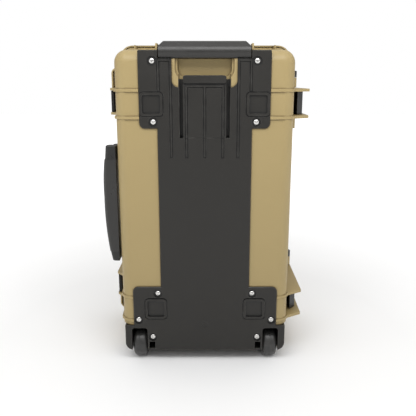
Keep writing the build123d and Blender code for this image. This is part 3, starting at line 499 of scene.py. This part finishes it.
def vector_of(tree, given, **names):
    """A Combine XYZ node fed by named inputs; x, y and z name the inputs."""
    node = add(tree, "ShaderNodeCombineXYZ")
    for axis, label in names.items():
        link(tree, given, label, node, axis.upper())
    return node


def grown(name, mesh, tree, values):
    """A piece made by a tree from a start mesh, as a plain mesh."""
    piece = bpy.data.objects.new(name, mesh)
    bpy.context.scene.collection.objects.link(piece)
    modifier = piece.modifiers.new(tree.name, "NODES")
    modifier.node_group = tree
    for item in tree.interface.items_tree:
        if item.in_out == "INPUT" and item.name in values:
            modifier[item.identifier] = values[item.name]
    return bake_modifiers(piece)


def extent(mesh):
    """Lowest and highest corner of a mesh's vertices."""
    points = [v.co for v in mesh.vertices]
    return (Vector([min(p[i] for p in points) for i in range(3)]),
            Vector([max(p[i] for p in points) for i in range(3)]))


def in_millimetres(mesh):
    """A mesh's extent, rounded for printing."""
    return [tuple(round(v * 1000, 2) for v in corner) for corner in extent(mesh)]


def face_outwards(mesh):
    """Turn every face of a closed mesh outwards."""
    work = bmesh.new()
    work.from_mesh(mesh)
    bmesh.ops.recalc_face_normals(work, faces=work.faces)
    work.to_mesh(mesh)
    work.free()


# %% [markdown]
# ### Screws
# The back plate is held by bright dome-head screws with a hexagon socket, each sunk in a round
# counterbore. One head is a flattened sphere with a six-sided hole cut out; Instance on Points sets it at
# every screw centre, and a random turn about its own axis keeps the sockets from lining up, as on a real
# assembly.

# %% The screw tree
screws, screws_in, screws_out = new_tree("Socket screws", [
    ("Head Radius", "NodeSocketFloat", 0.0048), ("Head Height", "NodeSocketFloat", 0.0026),
    ("Socket Radius", "NodeSocketFloat", 0.0017), ("Socket Depth", "NodeSocketFloat", 0.0012),
    ("Shank Radius", "NodeSocketFloat", 0.002), ("Shank Length", "NodeSocketFloat", 0.01),
    ("Turn Seed", "NodeSocketInt", 7), ("Material", "NodeSocketMaterial", None)])
dome = add(screws, "GeometryNodeMeshUVSphere")
dome.inputs["Segments"].default_value = 40
dome.inputs["Rings"].default_value = 24
dome.inputs["Radius"].default_value = 1.0
squash = add(screws, "GeometryNodeTransform")
head_size = vector_of(screws, screws_in, x="Head Radius", y="Head Radius", z="Head Height")
link(screws, dome, "Mesh", squash, "Geometry")
link(screws, head_size, "Vector", squash, "Scale")
hexagon = add(screws, "GeometryNodeMeshCylinder")
hexagon.inputs["Vertices"].default_value = 6
link(screws, screws_in, "Socket Radius", hexagon, "Radius")
twice = math_node(screws, "MULTIPLY", None, 2.0)
link(screws, screws_in, "Socket Depth", twice, 0)
link(screws, twice, 0, hexagon, "Depth")
lift = add(screws, "GeometryNodeTransform")
lift_by = vector_of(screws, screws_in, z="Head Height")
link(screws, hexagon, "Mesh", lift, "Geometry")
link(screws, lift_by, "Vector", lift, "Translation")
cut = add(screws, "GeometryNodeMeshBoolean", operation="DIFFERENCE")
link(screws, squash, "Geometry", cut, 0)
link(screws, lift, "Geometry", cut, 1)
height = add(screws, "GeometryNodeInputPosition")
split = add(screws, "ShaderNodeSeparateXYZ")
link(screws, height, "Position", split, "Vector")
below = add(screws, "FunctionNodeCompare", data_type="FLOAT", operation="LESS_THAN")
below.inputs["B"].default_value = -1e-6
link(screws, split, "Z", below, "A")
trim = add(screws, "GeometryNodeDeleteGeometry", domain="POINT")
link(screws, cut, "Mesh", trim, "Geometry")
link(screws, below, "Result", trim, "Selection")
shank = add(screws, "GeometryNodeMeshCylinder")
shank.inputs["Vertices"].default_value = 24
link(screws, screws_in, "Shank Radius", shank, "Radius")
link(screws, screws_in, "Shank Length", shank, "Depth")
half_down = math_node(screws, "MULTIPLY", None, -0.5)
link(screws, screws_in, "Shank Length", half_down, 0)
down = add(screws, "ShaderNodeCombineXYZ")
link(screws, half_down, 0, down, "Z")
lower_shank = add(screws, "GeometryNodeTransform")
link(screws, shank, "Mesh", lower_shank, "Geometry")
link(screws, down, "Vector", lower_shank, "Translation")
whole = add(screws, "GeometryNodeJoinGeometry")
link(screws, trim, "Geometry", whole, "Geometry")
link(screws, lower_shank, "Geometry", whole, "Geometry")
turn_any = add(screws, "FunctionNodeRandomValue", data_type="FLOAT")
turn_any.inputs[3].default_value = math.pi / 3
link(screws, screws_in, "Turn Seed", turn_any, "Seed")
spin = add(screws, "ShaderNodeCombineXYZ")
screws.links.new(turn_any.outputs[1], spin.inputs["Z"])
setting = add(screws, "GeometryNodeInstanceOnPoints")
link(screws, screws_in, "Geometry", setting, "Points")
link(screws, whole, "Geometry", setting, "Instance")
face_back = add(screws, "GeometryNodeRotateInstances")
face_back.inputs["Rotation"].default_value = (math.pi / 2, 0.0, 0.0)
own_turn = add(screws, "GeometryNodeRotateInstances")
link(screws, setting, "Instances", face_back, "Instances")
link(screws, face_back, "Instances", own_turn, "Instances")
link(screws, spin, "Vector", own_turn, "Rotation")
close_tree(screws, own_turn, "Instances", screws_in, screws_out)
print("tree:", screws.name, len(screws.nodes), "nodes")

# %% Screws on the back plate
HEAD_GAP = 0.0001              # the new head is this much smaller all round
RIM_SHARE = 0.9                # beyond this share of the head's radius lies its rim
SOCKET_SHARE = 0.42            # socket radius as a share of the head's
SOCKET_DEEP = 0.0012
SHANK_RADIUS = 0.0019


def loose_parts(mesh):
    """Lists of vertex positions, one for each separate shell of a welded mesh."""
    work = bmesh.new()
    work.from_mesh(mesh)
    left = set(work.verts)
    parts = []
    while left:
        front = [left.pop()]
        part = []
        while front:
            vert = front.pop()
            part.append(vert.co.copy())
            for edge in vert.link_edges:
                other = edge.other_vert(vert)
                if other in left:
                    left.discard(other)
                    front.append(other)
        parts.append(part)
    work.free()
    return parts


def screw_piece(node):
    """Screws that stand at the places of one node's screws, with its own lengths."""
    mesh = welded_copy(node)
    seats = bpy.data.meshes.new(node + "_places")
    centres = []
    for part in loose_parts(mesh):
        xs = [p.x for p in part]
        zs = [p.z for p in part]
        centre_x = (min(xs) + max(xs)) / 2
        centre_z = (min(zs) + max(zs)) / 2
        radius = (max(xs) - min(xs)) / 2
        top = min(p.y for p in part)
        end = max(p.y for p in part)
        seat = max(p.y for p in part
                   if math.hypot(p.x - centre_x, p.z - centre_z) > RIM_SHARE * radius)
        centres.append((centre_x, seat, centre_z))
    seats.from_pydata(centres, [], [])
    bpy.data.meshes.remove(mesh)
    # The screws of one node are alike, so the last one's sizes hold for all of them.
    values = {"Head Radius": radius - HEAD_GAP, "Head Height": seat - top,
              "Socket Radius": SOCKET_SHARE * radius, "Socket Depth": SOCKET_DEEP,
              "Shank Radius": SHANK_RADIUS, "Shank Length": end - seat, "Turn Seed": 7,
              "Material": FINISH["screw_steel"]}
    piece = grown(node + "_heads", seats, screws, values)
    shade_by_angle(piece.data, 35.0)
    return finish_piece(piece, body_of[node], slot_of[node], node)


for screw_node in ("plate_screws", "housing_screws"):
    made = screw_piece(screw_node)
    print(made.name, len(made.data.polygons), "faces")

# %% [markdown]
# ### Rings that are swept
# A tyre is one outline carried round the axle, and the seal is one small outline carried round the rim.
# Both are a profile swept along a path, which is what Curve to Mesh does. The tyre's outline has rounded
# shoulders and a fine parting line where the two halves of its mould meet.

# %% The tyre tree
tyres, tyres_in, tyres_out = new_tree("Tyre round its axle", [
    ("Path Radius", "NodeSocketFloat", 0.02), ("Steps", "NodeSocketInt", 96),
    ("Centre", "NodeSocketVector", (0.0, 0.0, 0.0)), ("Material", "NodeSocketMaterial", None)])
path = add(tyres, "GeometryNodeCurvePrimitiveCircle", mode="RADIUS")
link(tyres, tyres_in, "Path Radius", path, "Radius")
link(tyres, tyres_in, "Steps", path, "Resolution")
upright = add(tyres, "GeometryNodeSetCurveNormal", mode="Z_UP")
link(tyres, path, "Curve", upright, "Curve")
outline = add(tyres, "GeometryNodeMeshToCurve")
link(tyres, tyres_in, "Geometry", outline, "Mesh")
sweep = add(tyres, "GeometryNodeCurveToMesh")
link(tyres, upright, "Curve", sweep, "Curve")
link(tyres, outline, "Curve", sweep, "Profile Curve")
to_axle = add(tyres, "GeometryNodeTransform")
to_axle.inputs["Rotation"].default_value = (0.0, math.pi / 2, 0.0)
link(tyres, sweep, "Mesh", to_axle, "Geometry")
link(tyres, tyres_in, "Centre", to_axle, "Translation")
close_tree(tyres, to_axle, "Geometry", tyres_in, tyres_out)
print("tree:", tyres.name)

# %% Tyres
SHOULDER = 0.007               # radius of the tyre's shoulders
SHOULDER_STEPS = 12
PARTING = 0.00012              # height of the mould's parting line
TYRE_STEPS = 96


def tyre_outline(inner, outer, half, shoulder):
    """Closed outline (radial, axial) of a tyre with rounded shoulders and a parting line."""
    points = [(inner, -half)]
    for start, centre in ((-90, -half + shoulder), (0, half - shoulder)):
        for step in range(SHOULDER_STEPS + 1):
            angle = math.radians(start + 90 * step / SHOULDER_STEPS)
            points.append((outer - shoulder + shoulder * math.cos(angle),
                           centre + shoulder * math.sin(angle)))
        if start < 0:
            points += [(outer, -3 * PARTING), (outer + PARTING, 0.0), (outer, 3 * PARTING)]
    points.append((inner, half))
    return points


def outline_mesh(name, points, shift):
    """Edges that join the points in a closed loop, moved inwards by shift."""
    mesh = bpy.data.meshes.new(name)
    loop = [(i, (i + 1) % len(points)) for i in range(len(points))]
    mesh.from_pydata([(x - shift, y, 0.0) for x, y in points], loop, [])
    return mesh


for side in ("left", "right"):
    node = "wheel_tyre_" + side
    tyre_low, tyre_high = extent(nodes[node].data)
    radius = (tyre_high.z - tyre_low.z) / 2
    _, hub_high = extent(nodes["wheel_hub_" + side].data)
    bore = hub_high.z - (tyre_low.z + tyre_high.z) / 2
    drawn = tyre_outline(bore, radius - PARTING, (tyre_high.x - tyre_low.x) / 2, SHOULDER)
    made = grown(node + "_tread", outline_mesh(node + "_outline", drawn, radius), tyres,
                 {"Path Radius": radius, "Steps": TYRE_STEPS, "Centre": (tyre_low + tyre_high) / 2,
                  "Material": FINISH["wheel_tread"]})
    face_outwards(made.data)
    shade_by_angle(made.data, 40.0)
    finish_piece(made, body_of[node], slot_of[node], node)
    print(made.name, in_millimetres(made.data))

# %% The seal tree
seals, seals_in, seals_out = new_tree("Seal round the rim", [
    ("Width", "NodeSocketFloat", 0.3), ("Height", "NodeSocketFloat", 0.5),
    ("Corner Radius", "NodeSocketFloat", 0.025), ("Seal Width", "NodeSocketFloat", 0.0044),
    ("Seal Thickness", "NodeSocketFloat", 0.0026), ("Edge Radius", "NodeSocketFloat", 0.0009),
    ("Centre", "NodeSocketVector", (0.0, 0.0, 0.0)), ("Material", "NodeSocketMaterial", None)])
rim_path = add(seals, "GeometryNodeCurvePrimitiveQuadrilateral")
link(seals, seals_in, "Width", rim_path, "Width")
link(seals, seals_in, "Height", rim_path, "Height")
rim_round = add(seals, "GeometryNodeFilletCurve", mode="POLY")
rim_round.inputs["Count"].default_value = 12
link(seals, rim_path, "Curve", rim_round, "Curve")
link(seals, seals_in, "Corner Radius", rim_round, "Radius")
rim_up = add(seals, "GeometryNodeSetCurveNormal", mode="Z_UP")
link(seals, rim_round, "Curve", rim_up, "Curve")
section = add(seals, "GeometryNodeCurvePrimitiveQuadrilateral")
link(seals, seals_in, "Seal Width", section, "Width")
link(seals, seals_in, "Seal Thickness", section, "Height")
section_round = add(seals, "GeometryNodeFilletCurve", mode="POLY")
section_round.inputs["Count"].default_value = 5
link(seals, section, "Curve", section_round, "Curve")
link(seals, seals_in, "Edge Radius", section_round, "Radius")
seal_sweep = add(seals, "GeometryNodeCurveToMesh")
link(seals, rim_up, "Curve", seal_sweep, "Curve")
link(seals, section_round, "Curve", seal_sweep, "Profile Curve")
stand = add(seals, "GeometryNodeTransform")
stand.inputs["Rotation"].default_value = (math.pi / 2, 0.0, 0.0)
link(seals, seal_sweep, "Mesh", stand, "Geometry")
link(seals, seals_in, "Centre", stand, "Translation")
close_tree(seals, stand, "Geometry", seals_in, seals_out)
print("tree:", seals.name)

# %% The lid's seal
SEAL_WIDTH = 0.0044
SEAL_CORNER = 0.027            # outer corner radius of the seal
SEAL_EDGE = 0.0009             # radius along the seal's own edges
seal_low, seal_high = extent(nodes["lid_gasket"].data)
start_mesh = bpy.data.meshes.new("seal_start")
seal = grown("lid_gasket_seal", start_mesh, seals, {
    "Width": seal_high.x - seal_low.x - SEAL_WIDTH, "Height": seal_high.z - seal_low.z - SEAL_WIDTH,
    "Corner Radius": SEAL_CORNER - SEAL_WIDTH / 2, "Seal Width": SEAL_WIDTH,
    "Seal Thickness": seal_high.y - seal_low.y, "Edge Radius": SEAL_EDGE,
    "Centre": (seal_low + seal_high) / 2, "Material": FINISH["seal_rubber"]})
face_outwards(seal.data)
shade_by_angle(seal.data, 50.0)
finish_piece(seal, body_of["lid_gasket"], slot_of["lid_gasket"], "lid_gasket")
print(seal.name, in_millimetres(seal.data))
MADE_BY_TREES = {"plate_screws", "housing_screws", "wheel_tyre_left", "wheel_tyre_right", "lid_gasket"}

# %% [markdown]
# ## The rest of the frame
# The nodes that are seen only inside an opening, such as tubes and pins, already have their true shape,
# so they stay as they are and only receive a finish.

# %% Finishes for the nodes that stay
for name, node in nodes.items():
    if name in EDGE or name in MADE_BY_TREES:
        continue
    node.data.materials.clear()
    node.data.materials.append(FINISH[slot_of[name]])
print("nodes kept:", len(nodes) - len(EDGE) - len(MADE_BY_TREES))

# %% [markdown]
# ## Floor, light and camera
# A white sweep with a big soft box above and in front gives the even top light that makes the upper
# mouldings paler than the lower ones, with a soft shadow on the floor below the case.

# %% Floor
FLOOR_SIZE = 14.0
FLOOR_GAP = 0.0002             # the floor lies this far below the case, in metres
SHADOW_REACH = 0.4             # the floor keeps its plain shade this far out, in metres
SWEEP_START = 1.6              # beyond this the sweep is lit evenly, so no horizon shows
SWEEP_GLOW = 0.5
low, high = CAD_BOX
bpy.ops.mesh.primitive_plane_add(size=FLOOR_SIZE, location=(0, 0, low[2] - FLOOR_GAP))
floor = bpy.context.object
floor.name = "studio_floor"
floor_finish = bpy.data.materials.new("White sweep")
floor_finish.use_nodes = True
floor_tree = floor_finish.node_tree
floor_shader = floor_tree.nodes["Principled BSDF"]
floor_shader.inputs["Base Color"].default_value = (0.93, 0.93, 0.93, 1.0)
floor_shader.inputs["Roughness"].default_value = 0.7
floor_shader.inputs["Specular IOR Level"].default_value = 0.2
floor_shader.inputs["Emission Color"].default_value = (1.0, 1.0, 1.0, 1.0)
floor_place = floor_tree.nodes.new("ShaderNodeTexCoord")
floor_reach = floor_tree.nodes.new("ShaderNodeVectorMath")
floor_reach.operation = "LENGTH"
link(floor_tree, floor_place, "Object", floor_reach, "Vector")
floor_fade = remap(floor_tree, floor_reach, "Value", (SHADOW_REACH, SWEEP_START), (0.0, SWEEP_GLOW))
link(floor_tree, floor_fade, "Result", floor_shader, "Emission Strength")
floor.data.materials.append(floor_finish)

# %% Light: sizes and places in metres, power in watts


def soft_box(name, place, aim, width, height, power):
    """A rectangular light that faces a point."""
    data = bpy.data.lights.new(name, "AREA")
    data.shape = "RECTANGLE"
    data.size = width
    data.size_y = height
    data.energy = power
    lamp = bpy.data.objects.new(name, data)
    lamp.location = place
    lamp.visible_camera = False
    lamp.rotation_euler = (Vector(aim) - Vector(place)).to_track_quat("-Z", "Y").to_euler()
    bpy.context.scene.collection.objects.link(lamp)


middle = Vector(((low[0] + high[0]) / 2, (low[1] + high[1]) / 2, (low[2] + high[2]) / 2))
soft_box("top_box", (0.0, -0.58, 1.0), (0.0, middle.y, high[2]), 0.9, 0.32, 4.4)
soft_box("left_box", (-1.5, -0.7, 0.7), middle, 0.5, 1.2, 2.2)
soft_box("right_box", (1.5, -0.6, 0.7), middle, 0.5, 1.2, 1.6)

# %% Sky
SKY_TOP = 1.15                 # light from straight above
SKY_EDGE = 0.29                # light from the horizon
world = bpy.data.worlds.new("Studio")
bpy.context.scene.world = world
world.use_nodes = True
sky = world.node_tree
lit = sky.nodes["Background"]
way = sky.nodes.new("ShaderNodeTexCoord")
way_xyz = sky.nodes.new("ShaderNodeSeparateXYZ")
link(sky, way, "Generated", way_xyz, "Vector")
rise = remap(sky, way_xyz, "Z", (0.0, 1.0), (SKY_EDGE, SKY_TOP))
link(sky, rise, "Result", lit, "Strength")
lit.inputs["Color"].default_value = (1.0, 1.0, 1.0, 1.0)
seen = sky.nodes.new("ShaderNodeBackground")
seen.inputs["Color"].default_value = (1.0, 1.0, 1.0, 1.0)
choose = sky.nodes.new("ShaderNodeMixShader")
rays = sky.nodes.new("ShaderNodeLightPath")
link(sky, rays, "Is Camera Ray", choose, "Fac")
sky.links.new(lit.outputs["Background"], choose.inputs[1])
sky.links.new(seen.outputs["Background"], choose.inputs[2])
link(sky, choose, "Shader", sky.nodes["World Output"], "Surface")
bpy.context.scene.view_settings.view_transform = "Standard"

# %% Camera
CAMERA_BACK = 0.868            # distance from the back plate, in metres
CAMERA_HIGH = 0.494            # above the floor
CAMERA_ASIDE = 0.0055          # to the right of the middle
CAMERA_PITCH = math.radians(13.55)
lens = bpy.data.cameras.new("camera")
lens.lens = 45.6
lens.sensor_width = 36.0
camera = bpy.data.objects.new("camera", lens)
camera.location = (middle.x + CAMERA_ASIDE, low[1] - CAMERA_BACK, low[2] + CAMERA_HIGH)
camera.rotation_euler = (math.radians(90) - CAMERA_PITCH, 0.0, 0.0)
bpy.context.scene.collection.objects.link(camera)
bpy.context.scene.camera = camera
